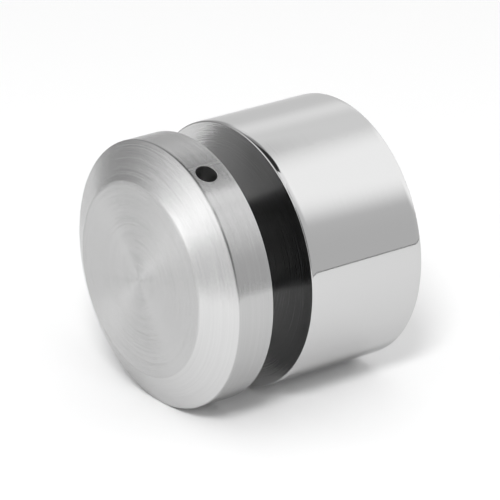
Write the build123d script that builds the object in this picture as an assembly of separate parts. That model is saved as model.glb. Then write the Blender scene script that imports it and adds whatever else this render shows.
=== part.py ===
from build123d import *

import os
from math import radians, tan

# A standoff that clamps a drilled glass pane to a wall. All sizes are in millimetres.
# Every piece is drawn standing on the wall, with the common axis along Z and heights counted from the
# wall face of the barrel. At the end the stack is laid over, so that the wall face looks along +Y,
# the cap's flat face looks along -Y and Z is up.

# The barrel and the cap are cut from the same round bar.
bar_diameter = 50.0

# Barrel: the polished body that is screwed to the wall.
barrel_length = 25.0
barrel_edge_round = 0.4
wall_thread_depth = 8.0

# Cap: a rim, a bevel and a flat face, with one pin hole drilled into the rim.
cap_rim_length = 7.5
cap_bevel_length = 4.0
cap_flat_diameter = 36.0
cap_back_edge_round = 0.25
cap_rim_edge_round = 0.3
cap_flat_edge_round = 1.2
pin_hole_diameter = 4.0
pin_hole_depth = 7.0
pin_hole_height = 4.5
pin_hole_angle = 63.5
pin_hole_countersink = 0.25

# Thread: metric, the same on the stud, in the cap and at both ends of the barrel.
thread_diameter = 10.0
thread_pitch = 1.5
thread_mouth_chamfer = 0.4

# Stud: a socket set screw that is locked in the cap and screwed into the barrel.
stud_length_in_cap = 8.3
stud_length_in_barrel = 13.0
stud_end_chamfer = 1.0
socket_across_flats = 5.0
socket_depth = 5.0

# Sleeve: a plastic ring round the stud, which keeps the glass off the steel.
sleeve_length = 8.7
sleeve_wall = 2.8
sleeve_edge_chamfer = 0.4

# Room round the stud, on the radius, and past its ends.
thread_clearance = 0.05
sleeve_clearance = 0.2
stud_end_room = 0.5

# A twist drill leaves a cone of this angle at the bottom of a blind hole.
drill_point_angle = 118.0

# Sizes that follow from those above.
bar_radius = bar_diameter / 2
thread_radius = thread_diameter / 2
tapping_radius = thread_radius - thread_pitch / 2
stud_radius = thread_radius - thread_clearance
sleeve_bore_radius = thread_radius + sleeve_clearance
sleeve_outer_radius = sleeve_bore_radius + sleeve_wall

# Heights of the faces above the wall.
cap_back = barrel_length + sleeve_length
cap_bevel_start = cap_back + cap_rim_length
cap_front = cap_bevel_start + cap_bevel_length
stud_back = barrel_length - stud_length_in_barrel
stud_front = cap_back + stud_length_in_cap

STANDING = (Align.CENTER, Align.CENTER, Align.MIN)
HANGING = (Align.CENTER, Align.CENTER, Align.MAX)


def turned(outline, rounds):
    """A solid turned about Z from (radius, height) points, with its corners rounded in order."""
    skin = FilletPolyline(*outline, radius=rounds)
    axis_line = Line(outline[-1], outline[0])
    profile = make_face(Plane.XZ * (skin + axis_line))
    return revolve(profile, Axis.Z)


def round_bar(radius, low, high):
    """A cylinder on the axis between two heights."""
    return Pos(0, 0, low) * Cylinder(radius, high - low, align=STANDING)


def taper(low_radius, high_radius, low, high):
    """A cone on the axis between two heights."""
    return Pos(0, 0, low) * Cone(low_radius, high_radius, high - low, align=STANDING)


def tapped_hole(depth):
    """A tapped hole below z = 0, with a chamfered mouth and the tap's lead at the bottom."""
    lead = thread_radius - tapping_radius
    mouth_radius = thread_radius + thread_mouth_chamfer
    hole = round_bar(thread_radius, lead - depth, 0)
    hole += taper(tapping_radius, thread_radius, -depth, lead - depth)
    hole += taper(thread_radius, mouth_radius, -thread_mouth_chamfer, 0)
    return hole


def pin_hole():
    """A drilled hole below z = 0, with a small countersink that reaches just past its mouth."""
    radius = pin_hole_diameter / 2
    point_length = radius / tan(radians(drill_point_angle / 2))
    rise = pin_hole_countersink
    hole = round_bar(radius, -pin_hole_depth, rise)
    hole += Pos(0, 0, -pin_hole_depth) * Cone(0, radius, point_length, align=HANGING)
    hole += taper(radius, radius + 2 * rise, -rise, rise)
    return hole


def make_barrel():
    """A slice of polished bar, drilled through and tapped from both ends."""
    barrel = turned(
        [(0, 0), (bar_radius, 0), (bar_radius, barrel_length), (0, barrel_length)],
        [barrel_edge_round, barrel_edge_round],
    )
    barrel -= round_bar(tapping_radius, 0, barrel_length)
    barrel -= Pos(0, 0, barrel_length) * tapped_hole(stud_length_in_barrel + stud_end_room)
    barrel -= Rot(180, 0, 0) * tapped_hole(wall_thread_depth)
    return barrel


def make_cap():
    """The cap, turned from the same bar, with a blind hole for the stud and one for a spanner's pin."""
    flat_radius = cap_flat_diameter / 2
    cap = turned(
        [
            (0, cap_back),
            (bar_radius, cap_back),
            (bar_radius, cap_bevel_start),
            (flat_radius, cap_front),
            (0, cap_front),
        ],
        [cap_back_edge_round, cap_rim_edge_round, cap_flat_edge_round],
    )
    stud_hole = tapped_hole(stud_length_in_cap + stud_end_room)
    cap -= Pos(0, 0, cap_back) * Rot(180, 0, 0) * stud_hole
    rim_point = Pos(bar_radius, 0, cap_back + pin_hole_height)
    cap -= Rot(0, 0, pin_hole_angle) * rim_point * Rot(0, 90, 0) * pin_hole()
    return cap


def make_stud():
    """A headless set screw with a hexagon socket in the end that screws into the barrel."""
    stud = round_bar(stud_radius, stud_back, stud_front)
    stud = chamfer(stud.edges().filter_by(GeomType.CIRCLE), stud_end_chamfer)
    across = socket_across_flats / 2
    socket = extrude(RegularPolygon(across, 6, major_radius=False), socket_depth)
    point_length = across / tan(radians(drill_point_angle / 2))
    socket += Pos(0, 0, socket_depth) * Cone(across, 0, point_length, align=STANDING)
    return stud - Pos(0, 0, stud_back) * socket


def make_sleeve():
    """The plastic sleeve, between the barrel's front face and the cap's back face."""
    sleeve = round_bar(sleeve_outer_radius, barrel_length, cap_back)
    sleeve = chamfer(sleeve.edges().filter_by(GeomType.CIRCLE), sleeve_edge_chamfer)
    return sleeve - round_bar(sleeve_bore_radius, barrel_length, cap_back)


pieces = {
    "barrel": make_barrel(),
    "cap": make_cap(),
    "threaded_stud": make_stud(),
    "spacer_sleeve": make_sleeve(),
}

os.makedirs("parts", exist_ok=True)
for name, piece in pieces.items():
    export_step(Plane.XZ * piece, f"parts/{name}.step")
    print(name, round(piece.volume), "cubic mm")
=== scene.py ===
from math import cos, hypot, pi, radians, sin, tan

import bpy
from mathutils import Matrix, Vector


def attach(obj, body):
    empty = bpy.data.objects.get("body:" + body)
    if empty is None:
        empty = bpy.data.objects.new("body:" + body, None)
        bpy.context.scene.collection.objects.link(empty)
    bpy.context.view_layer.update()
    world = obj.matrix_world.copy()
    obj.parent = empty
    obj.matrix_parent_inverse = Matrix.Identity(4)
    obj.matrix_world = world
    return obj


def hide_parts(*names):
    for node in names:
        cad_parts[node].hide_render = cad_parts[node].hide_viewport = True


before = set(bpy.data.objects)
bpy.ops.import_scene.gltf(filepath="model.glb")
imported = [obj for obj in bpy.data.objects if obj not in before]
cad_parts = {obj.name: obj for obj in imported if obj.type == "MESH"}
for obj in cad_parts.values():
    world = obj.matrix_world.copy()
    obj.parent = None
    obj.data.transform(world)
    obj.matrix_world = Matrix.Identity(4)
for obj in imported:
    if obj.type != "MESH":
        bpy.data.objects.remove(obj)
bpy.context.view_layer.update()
bpy.ops.object.select_all(action="DESELECT")

mm = 0.001

# Camera: it stands in front of the cap, to the right of it and a little above, with a long lens, as in the
# photograph.
camera_place = Vector((493.10, -387.88, 254.70)) * mm
camera_aim = Vector((1.01, -21.08, 0.22)) * mm
camera_turn = (camera_aim - camera_place).to_track_quat("-Z", "Y").to_euler()
camera_lens = 261.05

bpy.ops.object.camera_add(location=camera_place, rotation=camera_turn)
camera = bpy.context.object
camera.name = "camera"
camera.data.lens = camera_lens
bpy.context.scene.camera = camera
bpy.context.scene.view_settings.view_transform = "Standard"


# Table: the standoff lies on its side on a table of white card, as it was photographed. A dark strip stands
# up along the right edge of the table as painted shade, in place of the shade in the gap at the table's
# edge. It shows only in reflections, as a thin dark line on the steel.
class Amount:
    """A number that a material reads from a socket. A sum on it adds a Math node."""

    def __init__(self, finish, socket):
        self.finish = finish
        self.socket = socket

    def math(self, operation, *numbers):
        inputs = dict(enumerate(numbers))
        return self.finish.node("ShaderNodeMath", {"operation": operation}, inputs)

    def __add__(self, other):
        return self.math("ADD", self, other)

    def __sub__(self, other):
        return self.math("SUBTRACT", self, other)

    def __rsub__(self, other):
        return self.math("SUBTRACT", other, self)

    def __mul__(self, other):
        return self.math("MULTIPLY", self, other)

    def __truediv__(self, other):
        return self.math("DIVIDE", self, other)

    def __rtruediv__(self, other):
        return self.math("DIVIDE", other, self)

    def __pow__(self, other):
        return self.math("POWER", self, other)

    __radd__ = __add__
    __rmul__ = __mul__


class Finish:
    """The nodes of a material or of the world."""

    def __init__(self, owner):
        owner.use_nodes = True
        self.owner = owner
        self.tree = owner.node_tree

    def feed(self, socket, value):
        """Sets a socket, or links it if the value comes from another node."""
        if isinstance(value, Amount):
            self.tree.links.new(value.socket, socket)
        else:
            socket.default_value = value

    def node(self, kind, settings, inputs, output=0):
        """A new node with its settings and inputs. What it gives is one of its outputs."""
        made = self.tree.nodes.new(kind)
        for name, value in settings.items():
            setattr(made, name, value)
        for name, value in inputs.items():
            self.feed(made.inputs[name], value)
        return Amount(self, made.outputs[output])

    def shader(self, inputs, name="Principled BSDF"):
        """Sets the sockets of the node that the material starts with."""
        for socket, value in inputs.items():
            self.feed(self.tree.nodes[name].inputs[socket], value)

    def show(self, surface):
        """Makes this shader the surface of the material."""
        self.tree.links.new(surface.socket, self.tree.nodes["Material Output"].inputs["Surface"])


table_top = -25 * mm
table_left = -277 * mm
table_right = 222 * mm
table_front = -178 * mm
table_back = 300 * mm
table_thickness = 4 * mm
table_width = table_right - table_left
table_depth = table_back - table_front
table_middle = Vector(((table_right + table_left) / 2, (table_back + table_front) / 2, table_top))

bpy.ops.mesh.primitive_plane_add(size=1)
table = bpy.context.object
table.name = "table"
bpy.ops.object.mode_set(mode="EDIT")
bpy.ops.transform.resize(value=(table_width, table_depth, 1))
bpy.ops.transform.translate(value=table_middle)
bpy.ops.mesh.extrude_region_move(TRANSFORM_OT_translate={"value": (0, 0, -table_thickness)})
bpy.ops.mesh.select_all(action="SELECT")
bpy.ops.mesh.normals_make_consistent(inside=False)
bpy.ops.object.mode_set(mode="OBJECT")
card = Finish(bpy.data.materials.new("white card"))
card.shader({"Base Color": (0.93, 0.93, 0.93, 1), "Roughness": 0.9, "Specular IOR Level": 0.2})
table.data.materials.append(card.owner)

# The edge strip is painted shade: a dark sheet, seen only in reflections, standing in for the shade at the
# table's edge.
band_thickness = 1 * mm
band_height = 3 * mm

bpy.ops.mesh.primitive_cube_add(size=1)
band = bpy.context.object
band.name = "painted shade strip at the table edge"
band.scale = (band_thickness, table_depth, band_height)
band.location = (table_right, table_middle.y, table_top + band_height / 2)
band.visible_camera = False
painted_edge_shade = Finish(bpy.data.materials.new("dark strip of painted edge shade"))
painted_edge_shade.shader({"Base Color": (0.3, 0.3, 0.3, 1), "Roughness": 0.8})
band.data.materials.append(painted_edge_shade.owner)


# Room: it is white all round. The camera and the steel see it as pure white. It lights the table a little
# less than that, and the lamp below adds the rest.
room_light = 0.84

room = Finish(bpy.context.scene.world or bpy.data.worlds.new("white room"))
bpy.context.scene.world = room.owner
in_sight = 0
for kind_of_ray in ("Is Transmission Ray", "Is Glossy Ray", "Is Camera Ray"):
    ray = room.node("ShaderNodeLightPath", {}, {}, kind_of_ray)
    in_sight = ray.math("MAXIMUM", ray, in_sight)
room.shader(
    {"Color": (1, 1, 1, 1), "Strength": in_sight * (1 - room_light) + room_light}, "Background"
)


# Soft panels: light ones and dark ones stand round the table. They show only in reflections, as the light
# and dark bands on the steel.
panel_distance = 900 * mm


def direction(azimuth, elevation):
    """The way from the standoff to a place in the room, from angles in degrees.

    The azimuth is counted from the wall side towards +X.
    """
    level_way = Vector((sin(radians(azimuth)), cos(radians(azimuth)), 0)) * cos(radians(elevation))
    return level_way + Vector((0, 0, sin(radians(elevation))))


def soft_panel(name, azimuth, elevation, width, height, level, soft_edge):
    """A glowing panel that faces the standoff, and fades into the room over the soft part of its edge.

    Width and height are the half angles that it covers, in degrees, seen from the standoff. A level of 1
    is as bright as the white room.
    """
    place = direction(azimuth, elevation) * panel_distance
    turn = place.to_track_quat("Z", "Y").to_euler()
    bpy.ops.mesh.primitive_plane_add(size=2, location=place, rotation=turn)
    panel = bpy.context.object
    panel.name = name
    panel.scale = (tan(radians(width)) * panel_distance, tan(radians(height)) * panel_distance, 1)
    panel.visible_camera = False
    panel.visible_diffuse = False
    light = Finish(bpy.data.materials.new(name))
    panel_place = light.node("ShaderNodeTexCoord", {}, {}, "Object")
    reach = light.node("ShaderNodeVectorMath", {"operation": "LENGTH"}, {0: panel_place}, "Value")
    cover = light.node(
        "ShaderNodeMapRange",
        {"interpolation_type": "SMOOTHSTEP"},
        {"Value": reach, "From Min": 1 - soft_edge, "From Max": 1, "To Min": 1, "To Max": 0},
    )
    clear = light.node("ShaderNodeBsdfTransparent", {}, {})
    glow = light.node("ShaderNodeEmission", {}, {"Strength": level})
    light.show(light.node("ShaderNodeMixShader", {}, {0: cover, 1: clear, 2: glow}))
    panel.data.materials.append(light.owner)


# Each panel: azimuth, elevation, half width and half height in degrees, level, soft share of its edge.
panels = {
    "overhead panel": (16.5, 34, 33.5, 34, 1.39, 0.46),
    "front panel": (-164, 8.5, 24.5, 22.5, 2.12, 0.95),
    "right wall": (79, 0, 60, 59.5, 0.67, 0.79),
    "left flag": (-85, 20, 28.5, 62, 0.47, 0.34),
    "dark ceiling": (-40, 79, 25, 22, 0.04, 0.12),
    "high left flag": (-123.5, 7, 29, 34.5, 0.33, 0.78),
    "left background": (-67, 85, 29.5, 48, 0.3, 0.29),
    "dim front": (168, 2, 27, 32, 0.68, 0.71),
    "ceiling": (79, 71, 36, 7.5, 1.18, 0.12),
    "back panel": (-47, 32, 16, 13, 1.2, 1.0),
    "camera side": (122, 20, 34, 25, 0.18, 0.2),
}
for name, numbers in panels.items():
    soft_panel(name, *numbers)


# Lamp: one soft round lamp stands above the camera, a little to its left. It brings the table up to white
# and throws the standoff's shadow behind it. The steel doesn't mirror it.
lamp_spot = Vector((0, -25, -25)) * mm
lamp_way = direction(133, 46)
lamp_distance = 850 * mm
lamp_width = 200 * mm
lamp_power = 3.5

bpy.ops.object.light_add(
    type="AREA",
    location=lamp_spot + lamp_way * lamp_distance,
    rotation=lamp_way.to_track_quat("Z", "Y").to_euler(),
)
lamp = bpy.context.object
lamp.name = "camera side lamp"
lamp.data.shape = "DISK"
lamp.data.size = lamp_width
lamp.data.energy = lamp_power
lamp.visible_glossy = False


# Barrel: a slice of round stainless bar, turned on both ends and polished to a mirror on its side. It is
# drilled through and tapped from both ends, for the screw that holds it to the wall and for the stud.
arc_step = radians(8)
corner_hold = 0.05
weld_distance = 0.001 * mm
smooth_angle = radians(25)


def rounded(corners):
    """Points along an outline of (radius, y, round) corners in millimetres.

    A round corner becomes an arc with a point for each arc step, and one close beside each end of it
    that keeps the straight parts flat.
    """
    points = []
    for index, (radius, y, bend) in enumerate(corners):
        corner = Vector((radius, y))
        if not bend:
            points.append(corner)
            continue
        before = (Vector(corners[index - 1][:2]) - corner).normalized()
        after = (Vector(corners[index + 1][:2]) - corner).normalized()
        turn = pi - before.angle(after)
        reach = bend * tan(turn / 2)
        middle = corner + (before + after).normalized() * (bend / cos(turn / 2))
        start = corner + before * reach
        spoke = start - middle
        steps = max(3, round(turn / arc_step))
        way = 1 if before.cross(after) < 0 else -1
        points.append(start + before * corner_hold)
        for step in range(steps + 1):
            angle = way * turn * step / steps
            outward = spoke.x * cos(angle) - spoke.y * sin(angle)
            along = spoke.x * sin(angle) + spoke.y * cos(angle)
            points.append(middle + Vector((outward, along)))
        points.append(corner + after * (reach + corner_hold))
    return points


def drawn(name, points):
    """An outline on the X and Y plane, drawn by extruding one point after another."""
    bpy.ops.mesh.primitive_plane_add(size=mm)
    line = bpy.context.object
    line.name = name
    line.data.name = name
    bpy.ops.object.mode_set(mode="EDIT")
    bpy.ops.mesh.merge(type="CENTER")
    pen = Vector((0, 0))
    for index, point in enumerate(points):
        step = (*(point - pen) * mm, 0)
        if index:
            bpy.ops.mesh.extrude_region_move(TRANSFORM_OT_translate={"value": step})
        else:
            bpy.ops.transform.translate(value=step)
        pen = point
    return line


def turned(name, corners, steps=256):
    """A piece turned about the common axis from an outline of (radius, y, round) corners."""
    piece = drawn(name, rounded(corners))
    bpy.ops.mesh.select_all(action="SELECT")
    bpy.ops.mesh.spin(steps=steps, angle=2 * pi, center=(0, 0, 0), axis=(0, 1, 0))
    bpy.ops.mesh.select_all(action="SELECT")
    bpy.ops.mesh.remove_doubles(threshold=weld_distance)
    bpy.ops.mesh.normals_make_consistent(inside=False)
    bpy.ops.object.mode_set(mode="OBJECT")
    return piece


def worked(piece, tool, operation):
    """Cuts the tool out of the piece, or keeps only what both fill. The tool is used up."""
    modifier = piece.modifiers.new("tool", "BOOLEAN")
    modifier.operation = operation
    modifier.solver = "EXACT"
    modifier.object = tool
    bpy.ops.object.select_all(action="DESELECT")
    bpy.context.view_layer.objects.active = piece
    piece.select_set(True)
    bpy.ops.object.modifier_apply(modifier=modifier.name)
    bpy.data.objects.remove(tool)


# The thread is metric: its flanks stand 60 degrees apart, and at the middle radius the ridge is as wide as
# the groove.
thread_pitch = 1.5
flank_angle = radians(60)
flank_slope = tan(flank_angle / 2)
thread_middle = 4.513
thread_steps = 72
spare_turns = 2


def thread(name, root, crest, allowance, low, high):
    """A right-hand thread on a core, between two places along the axis, closed with flat ends.

    Its ridge stands at the same turn for the same place along the axis, whatever the ends are, so that a
    screw always meets its nut. The allowance moves the flanks out, on the radius.
    """
    half_root = thread_pitch / 4 + (thread_middle + allowance - root) * flank_slope
    half_crest = thread_pitch / 4 + (thread_middle + allowance - crest) * flank_slope
    turns = int((high - low) / thread_pitch) + 2 * spare_turns
    start = (int(low / thread_pitch) - spare_turns) * thread_pitch
    outline = [
        (root, -thread_pitch / 2),
        (root, -half_root),
        (crest, -half_crest),
        (crest, half_crest),
        (root, half_root),
        (root, thread_pitch / 2),
    ]
    piece = drawn(name, [Vector((radius, start + y)) for radius, y in outline])
    bpy.ops.object.mode_set(mode="OBJECT")
    screw = piece.modifiers.new("screw", "SCREW")
    screw.axis = "Y"
    screw.angle = 2 * pi
    screw.steps = thread_steps
    screw.render_steps = thread_steps
    screw.screw_offset = thread_pitch * mm
    screw.iterations = turns
    screw.use_merge_vertices = True
    screw.merge_threshold = weld_distance
    bpy.ops.object.modifier_apply(modifier=screw.name)
    bpy.ops.object.mode_set(mode="EDIT")
    bpy.ops.mesh.select_all(action="SELECT")
    bpy.ops.mesh.remove_doubles(threshold=weld_distance)
    for end, way in ((low, -1), (high, 1)):
        bpy.ops.mesh.select_all(action="SELECT")
        bpy.ops.mesh.bisect(plane_co=(0, end * mm, 0), plane_no=(0, way, 0), clear_outer=True)
    bpy.ops.mesh.select_all(action="SELECT")
    bpy.ops.mesh.remove_doubles(threshold=weld_distance)
    bpy.ops.mesh.fill_holes(sides=0)
    bpy.ops.mesh.normals_make_consistent(inside=False)
    bpy.ops.object.mode_set(mode="OBJECT")
    return piece


bar_radius = 25.0
buffed_bend = 7.0
buffed_lean = radians(7)
buffed_steps = 6
corner_bend = 0.3
corner_steps = 14


def buffed_edge(face, way):
    """The edge of the barrel at one end: a long arc that buffing left, which runs into the corner's own."""
    corner_middle = bar_radius - buffed_bend * (1 - cos(buffed_lean)) - corner_bend * cos(buffed_lean)
    start = corner_bend * (1 - sin(buffed_lean)) + buffed_bend * sin(buffed_lean)
    edge = [(bar_radius, face + way * (start + corner_hold), 0)]
    for step in range(buffed_steps):
        lean = buffed_lean * step / buffed_steps
        radius = bar_radius - buffed_bend * (1 - cos(lean))
        edge.append((radius, face + way * (start - buffed_bend * sin(lean)), 0))
    for step in range(corner_steps + 1):
        lean = buffed_lean + (pi / 2 - buffed_lean) * step / corner_steps
        radius = corner_middle + corner_bend * cos(lean)
        edge.append((radius, face + way * corner_bend * (1 - sin(lean)), 0))
    return edge


barrel_front = -25.0
back_edge = buffed_edge(0, -1)
front_edge = buffed_edge(barrel_front, 1)
face_radius = back_edge[-1][0] - corner_hold
drilled_radius = 4.25
mouth_radius = 5.4
mouth_depth = mouth_radius - drilled_radius
wall_thread_depth = 8.0
stud_in_barrel = 13.0
stud_end_room = 0.5
tap_overrun = 1.0
nut_root = 3.9
nut_crest = 5.03
flank_allowance = 0.04

barrel = turned(
    "polished_barrel",
    [
        (drilled_radius, -mouth_depth, 0),
        (mouth_radius, 0, 0),
        (face_radius, 0, 0),
        *reversed(back_edge),
        *front_edge,
        (face_radius, barrel_front, 0),
        (mouth_radius, barrel_front, 0),
        (drilled_radius, barrel_front + mouth_depth, 0),
        (drilled_radius, -mouth_depth, 0),
    ],
)
stud_tapping = (barrel_front - tap_overrun, barrel_front + stud_in_barrel + stud_end_room)
wall_tapping = (-wall_thread_depth, tap_overrun)
for low, high in (stud_tapping, wall_tapping):
    tap = thread("tap", nut_root, nut_crest, flank_allowance, low, high)
    worked(barrel, tap, "DIFFERENCE")
bpy.ops.object.shade_smooth_by_angle(angle=smooth_angle)
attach(barrel, "barrel")
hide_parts("barrel")

least_radius = 0.01


def spun_place(finish):
    """X, y, z and the distance from the axis, in millimetres. The distance never comes down to 0."""
    object_place = finish.node("ShaderNodeTexCoord", {}, {}, "Object")
    x, y, z = [
        finish.node("ShaderNodeSeparateXYZ", {}, {0: object_place}, output) / mm
        for output in ("X", "Y", "Z")
    ]
    return {"x": x, "y": y, "z": z, "radius": (x * x + z * z) ** 0.5 + least_radius}


def tool_marks(finish, place, pitch, streak, detail=4):
    """Grooves that run round the common axis: a height from 0 to 1.

    The pitch is the width of the widest groove in millimetres, and the streak is how often a groove
    changes in one turn.
    """
    round_way = streak / place["radius"]
    groove_place = finish.node(
        "ShaderNodeCombineXYZ",
        {},
        {
            "X": place["x"] * round_way,
            "Y": (place["radius"] + place["y"]) / pitch,
            "Z": place["z"] * round_way,
        },
    )
    return finish.node(
        "ShaderNodeTexNoise", {}, {"Vector": groove_place, "Scale": 1.0, "Detail": detail, "Roughness": 0.6}
    )


def from_to(share, low, high):
    """Goes from the low value to the high one as the share goes from 0 to 1."""
    return share * (high - low) + low


def relief(finish, height):
    """A bump from a height in millimetres, sharp enough for marks much finer than a pixel."""
    inputs = {"Height": height, "Distance": mm, "Strength": 1.0, "Filter Width": 0.03}
    return finish.node("ShaderNodeBump", {}, inputs)


lathe_mark_depth = 0.05


def lathe_marks(finish):
    """The fine grooves that a lathe leaves on a flat end."""
    marks = tool_marks(finish, spun_place(finish), pitch=0.25, streak=0.3)
    return relief(finish, marks * lathe_mark_depth)


# The steel's colour, seen straight on and at a glancing angle.
steel = (0.59, 0.59, 0.59, 1)
steel_edge = (0.75, 0.75, 0.75, 1)
ripple_depth = 0.003

polish = Finish(bpy.data.materials.new("mirror-polished steel"))
place = spun_place(polish)
haze = tool_marks(polish, place, pitch=2.5, streak=3.0)
ripple = tool_marks(polish, place, pitch=1.2, streak=1.5, detail=2)
polish.shader(
    {
        "Base Color": steel,
        "Specular Tint": steel_edge,
        "Metallic": 1.0,
        "Roughness": from_to(haze, 0.03, 0.07),
        "Normal": relief(polish, ripple * ripple_depth),
    }
)

facing = Finish(bpy.data.materials.new("turned end of the barrel"))
facing.shader(
    {
        "Base Color": steel,
        "Specular Tint": steel_edge,
        "Metallic": 1.0,
        "Roughness": 0.14,
        "Normal": lathe_marks(facing),
    }
)

square_on = 0.999
barrel_finishes = (polish, facing)
for finish in barrel_finishes:
    barrel.data.materials.append(finish.owner)
for face in barrel.data.polygons:
    if abs(face.normal.y) > square_on and hypot(face.center.x, face.center.z) > mouth_radius * mm:
        face.material_index = barrel_finishes.index(facing)


# Cap: turned from the same bar, with a rim, a wide bevel and a flat front, all brushed while it turned. It
# has a blind hole for the stud, and a small hole drilled into the rim takes the pin of the spanner.
gap_length = 8.7
cap_rim_length = 7.5
cap_bevel_length = 4.0
cap_back = barrel_front - gap_length
cap_rim_front = cap_back - cap_rim_length
cap_front = cap_rim_front - cap_bevel_length
cap_flat_radius = 18.0
cap_back_round = 0.25
cap_rim_round = 0.6
cap_flat_round = 1.2
stud_in_cap = 8.3
cap_hole_end = cap_back - stud_in_cap - stud_end_room
cap_hole_radius = 5.0
cap_mouth = 0.4
pin_hole_radius = 2.0
pin_hole_depth = 7.0
pin_hole_lip = 0.06
pin_hole_height = 4.5
pin_hole_place = cap_back - pin_hole_height
pin_hole_turn = radians(63.5)
drill_point_angle = radians(118)
drill_point = pin_hole_radius / tan(drill_point_angle / 2)

cap = turned(
    "brushed_cap",
    [
        (0, cap_hole_end, 0),
        (cap_hole_radius, cap_hole_end, 0),
        (cap_hole_radius, cap_back - cap_mouth, 0),
        (cap_hole_radius + cap_mouth, cap_back, 0),
        (bar_radius, cap_back, cap_back_round),
        (bar_radius, cap_rim_front, cap_rim_round),
        (cap_flat_radius, cap_front, cap_flat_round),
        (0, cap_front, 0),
    ],
    steps=384,
)
pin_drill = turned(
    "pin drill",
    [
        (0, -pin_hole_depth - drill_point, 0),
        (pin_hole_radius, -pin_hole_depth, 0),
        (pin_hole_radius, -pin_hole_lip, 0),
        (pin_hole_radius + 2 * pin_hole_lip, pin_hole_lip, 0),
        (0, pin_hole_lip, 0),
    ],
    steps=64,
)
pin_way = Vector((cos(pin_hole_turn), 0, sin(pin_hole_turn)))
pin_mouth = pin_way * bar_radius + Vector((0, pin_hole_place, 0))
pin_drill.location = pin_mouth * mm
pin_drill.rotation_euler = pin_way.to_track_quat("Y", "Z").to_euler()
bpy.ops.object.transform_apply(location=True, rotation=True, scale=True)
worked(cap, pin_drill, "DIFFERENCE")
bpy.ops.object.shade_smooth_by_angle(angle=smooth_angle)
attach(cap, "cap")
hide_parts("cap")


def between(finish, value, low, high):
    """Rises from 0 to 1 as the value goes from low to high."""
    return finish.node("ShaderNodeMapRange", {}, {"Value": value, "From Min": low, "From Max": high})


def by_zone(flat, bevel, rim):
    """A value of the cap's own for its flat, its bevel and its rim, blended over the edges between."""
    return on_bevel * (bevel - flat) + on_rim * (rim - bevel) + flat


# Along the axis, the finish changes from the flat's to the bevel's over the flat's edge, and from the
# bevel's to the rim's over the rim's edge.
flat_edge_start = cap_front + 0.05
flat_edge_end = cap_front + 0.25
rim_edge_start = cap_rim_front - 0.1
rim_edge_end = cap_rim_front + 0.1

brush = Finish(bpy.data.materials.new("brushed steel"))
place = spun_place(brush)
on_bevel = between(brush, place["y"], flat_edge_start, flat_edge_end)
on_rim = between(brush, place["y"], rim_edge_start, rim_edge_end)
lightness = by_zone(flat=0.55, bevel=0.63, rim=0.48)
line_contrast = by_zone(flat=0.09, bevel=0.19, rim=0.19)
mark_depth = by_zone(flat=0.02, bevel=0.009, rim=0.007)
streak_depth = by_zone(flat=0.0, bevel=0.02, rim=0.02)
lines = (tool_marks(brush, place, pitch=0.28, streak=0.6) - 0.5) * line_contrast + 1
fine_marks = tool_marks(brush, place, pitch=0.02, streak=0.1, detail=1) * mark_depth
broad_streaks = tool_marks(brush, place, pitch=0.6, streak=1.2) * streak_depth
brush.shader(
    {
        "Base Color": lightness * lines,
        "Specular Tint": steel_edge,
        "Metallic": 1.0,
        "Roughness": by_zone(flat=0.17, bevel=0.13, rim=0.13),
        "Normal": relief(brush, fine_marks + broad_streaks),
    }
)

bore = Finish(bpy.data.materials.new("drilled steel"))
chatter = tool_marks(bore, spun_place(bore), pitch=0.4, streak=20.0)
bore.shader(
    {
        "Base Color": (0.5, 0.5, 0.5, 1),
        "Metallic": 1.0,
        "Roughness": from_to(chatter, 0.2, 0.6),
    }
)

# The cap's back is darker steel than the barrel's turned end: painted shade for the gap between barrel and
# cap.
shaded_turned_back = Finish(bpy.data.materials.new("turned steel darkened as painted gap shade"))
shaded_turned_back.shader(
    {
        "Base Color": (0.3, 0.3, 0.3, 1),
        "Metallic": 1.0,
        "Roughness": 0.3,
        "Normal": lathe_marks(shaded_turned_back),
    }
)

# The back keeps the lathe's finish, and its steel is painted darker as painted shade in the gap between
# barrel and cap. The pin hole stays as the drill left it.
slack = 0.01
cap_finishes = (brush, bore, shaded_turned_back)
for finish in cap_finishes:
    cap.data.materials.append(finish.owner)
for face in cap.data.polygons:
    if face.normal.y > square_on and hypot(face.center.x, face.center.z) > cap_hole_radius * mm:
        face.material_index = cap_finishes.index(shaded_turned_back)
    reach = face.center - pin_mouth * mm
    along = reach.dot(pin_way)
    off_axis = (reach - pin_way * along).length
    if along < -pin_hole_lip * mm and off_axis < (pin_hole_radius + slack) * mm:
        face.material_index = cap_finishes.index(bore)


# Threaded stud: a socket set screw of plain steel, locked into the cap. It runs through the sleeve and
# screws into the barrel. The hexagon socket is in the end that faces the wall.
stud_back = barrel_front + stud_in_barrel
stud_front = cap_back - stud_in_cap
stud_radius = 4.95
stud_root = 4.08
stud_end_chamfer = 1.0
stud_bar_radius = stud_radius + slack
socket_across = 5.0
socket_corner = socket_across / 2 / cos(pi / 6)
socket_depth = 5.0

stud = thread("threaded_set_screw", stud_root, stud_radius, -flank_allowance, stud_front, stud_back)
stud_bar = turned(
    "stud bar",
    [
        (0, stud_front, 0),
        (stud_radius - stud_end_chamfer, stud_front, 0),
        (stud_bar_radius, stud_front + stud_end_chamfer, 0),
        (stud_bar_radius, stud_back - stud_end_chamfer, 0),
        (stud_radius - stud_end_chamfer, stud_back, 0),
        (0, stud_back, 0),
    ],
    steps=72,
)
worked(stud, stud_bar, "INTERSECT")
bpy.ops.mesh.primitive_cylinder_add(vertices=6, radius=socket_corner * mm, depth=2 * socket_depth * mm)
key = bpy.context.object
key.location = (0, stud_back * mm, 0)
key.rotation_euler = (pi / 2, 0, 0)
bpy.ops.object.transform_apply(location=True, rotation=True, scale=True)
worked(stud, key, "DIFFERENCE")
bpy.ops.object.shade_smooth_by_angle(angle=smooth_angle)
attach(stud, "cap")
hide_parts("threaded_stud")


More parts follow.
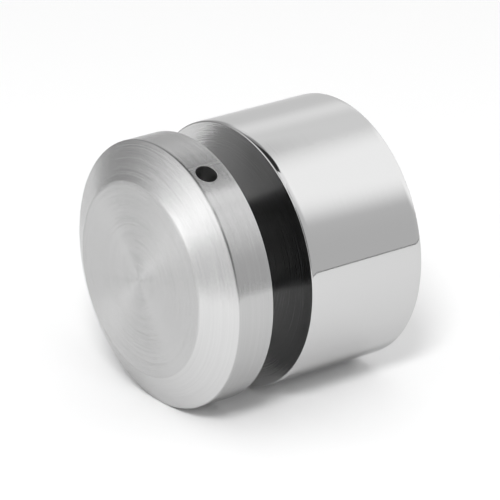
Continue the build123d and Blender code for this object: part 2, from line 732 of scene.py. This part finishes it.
def blend(finish, share, first, second):
    """The second colour takes over from the first as the share goes from 0 to 1.

    The node takes its two colours at inputs 6 and 7, and gives the blended one at output 2.
    """
    colours = {"Factor": share, 6: first, 7: second}
    return finish.node("ShaderNodeMix", {"data_type": "RGBA"}, colours, output=2)


# The thread's grooves are coloured darker than its ridges: painted shade in the roots of the thread.
painted_shade_groove_steel = (0.22, 0.22, 0.22, 1)
ridge_steel = (0.46, 0.46, 0.46, 1)
ridge_fade = 0.1
grain_depth = 0.02

screw_steel = Finish(bpy.data.materials.new("plain screw steel"))
place = spun_place(screw_steel)
on_ridge = between(screw_steel, place["radius"], stud_root + ridge_fade, stud_radius - ridge_fade)
grain = tool_marks(screw_steel, place, pitch=0.5, streak=2.0)
screw_steel.shader(
    {
        "Base Color": blend(screw_steel, on_ridge, painted_shade_groove_steel, ridge_steel),
        "Metallic": 1.0,
        "Roughness": from_to(grain, 0.2, 0.5),
        "Normal": relief(screw_steel, grain * grain_depth),
    }
)
stud.data.materials.append(screw_steel.owner)


# Spacer sleeve: a ring cut from black plastic tube, slipped over the stud. It fills the gap between barrel
# and cap, and keeps the glass off the steel.
sleeve_outside = 8.0
sleeve_inside = 5.2
sleeve_chamfer = 0.4

sleeve = turned(
    "black_spacer_sleeve",
    [
        (sleeve_inside, barrel_front, 0),
        (sleeve_outside - sleeve_chamfer, barrel_front, 0),
        (sleeve_outside, barrel_front - sleeve_chamfer, 0),
        (sleeve_outside, cap_back + sleeve_chamfer, 0),
        (sleeve_outside - sleeve_chamfer, cap_back, 0),
        (sleeve_inside, cap_back, 0),
        (sleeve_inside, barrel_front, 0),
    ],
)
bpy.ops.object.shade_smooth_by_angle(angle=smooth_angle)
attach(sleeve, "sleeve")
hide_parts("spacer_sleeve")

turning_depth = 0.03

plastic = Finish(bpy.data.materials.new("black plastic"))
place = spun_place(plastic)
sheen = tool_marks(plastic, place, pitch=1.0, streak=3.0)
turning = tool_marks(plastic, place, pitch=0.3, streak=0.3)
plastic.shader(
    {
        "Base Color": (0.06, 0.06, 0.06, 1),
        "Roughness": from_to(sheen, 0.25, 0.5),
        "Normal": relief(plastic, turning * turning_depth),
    }
)
sleeve.data.materials.append(plastic.owner)
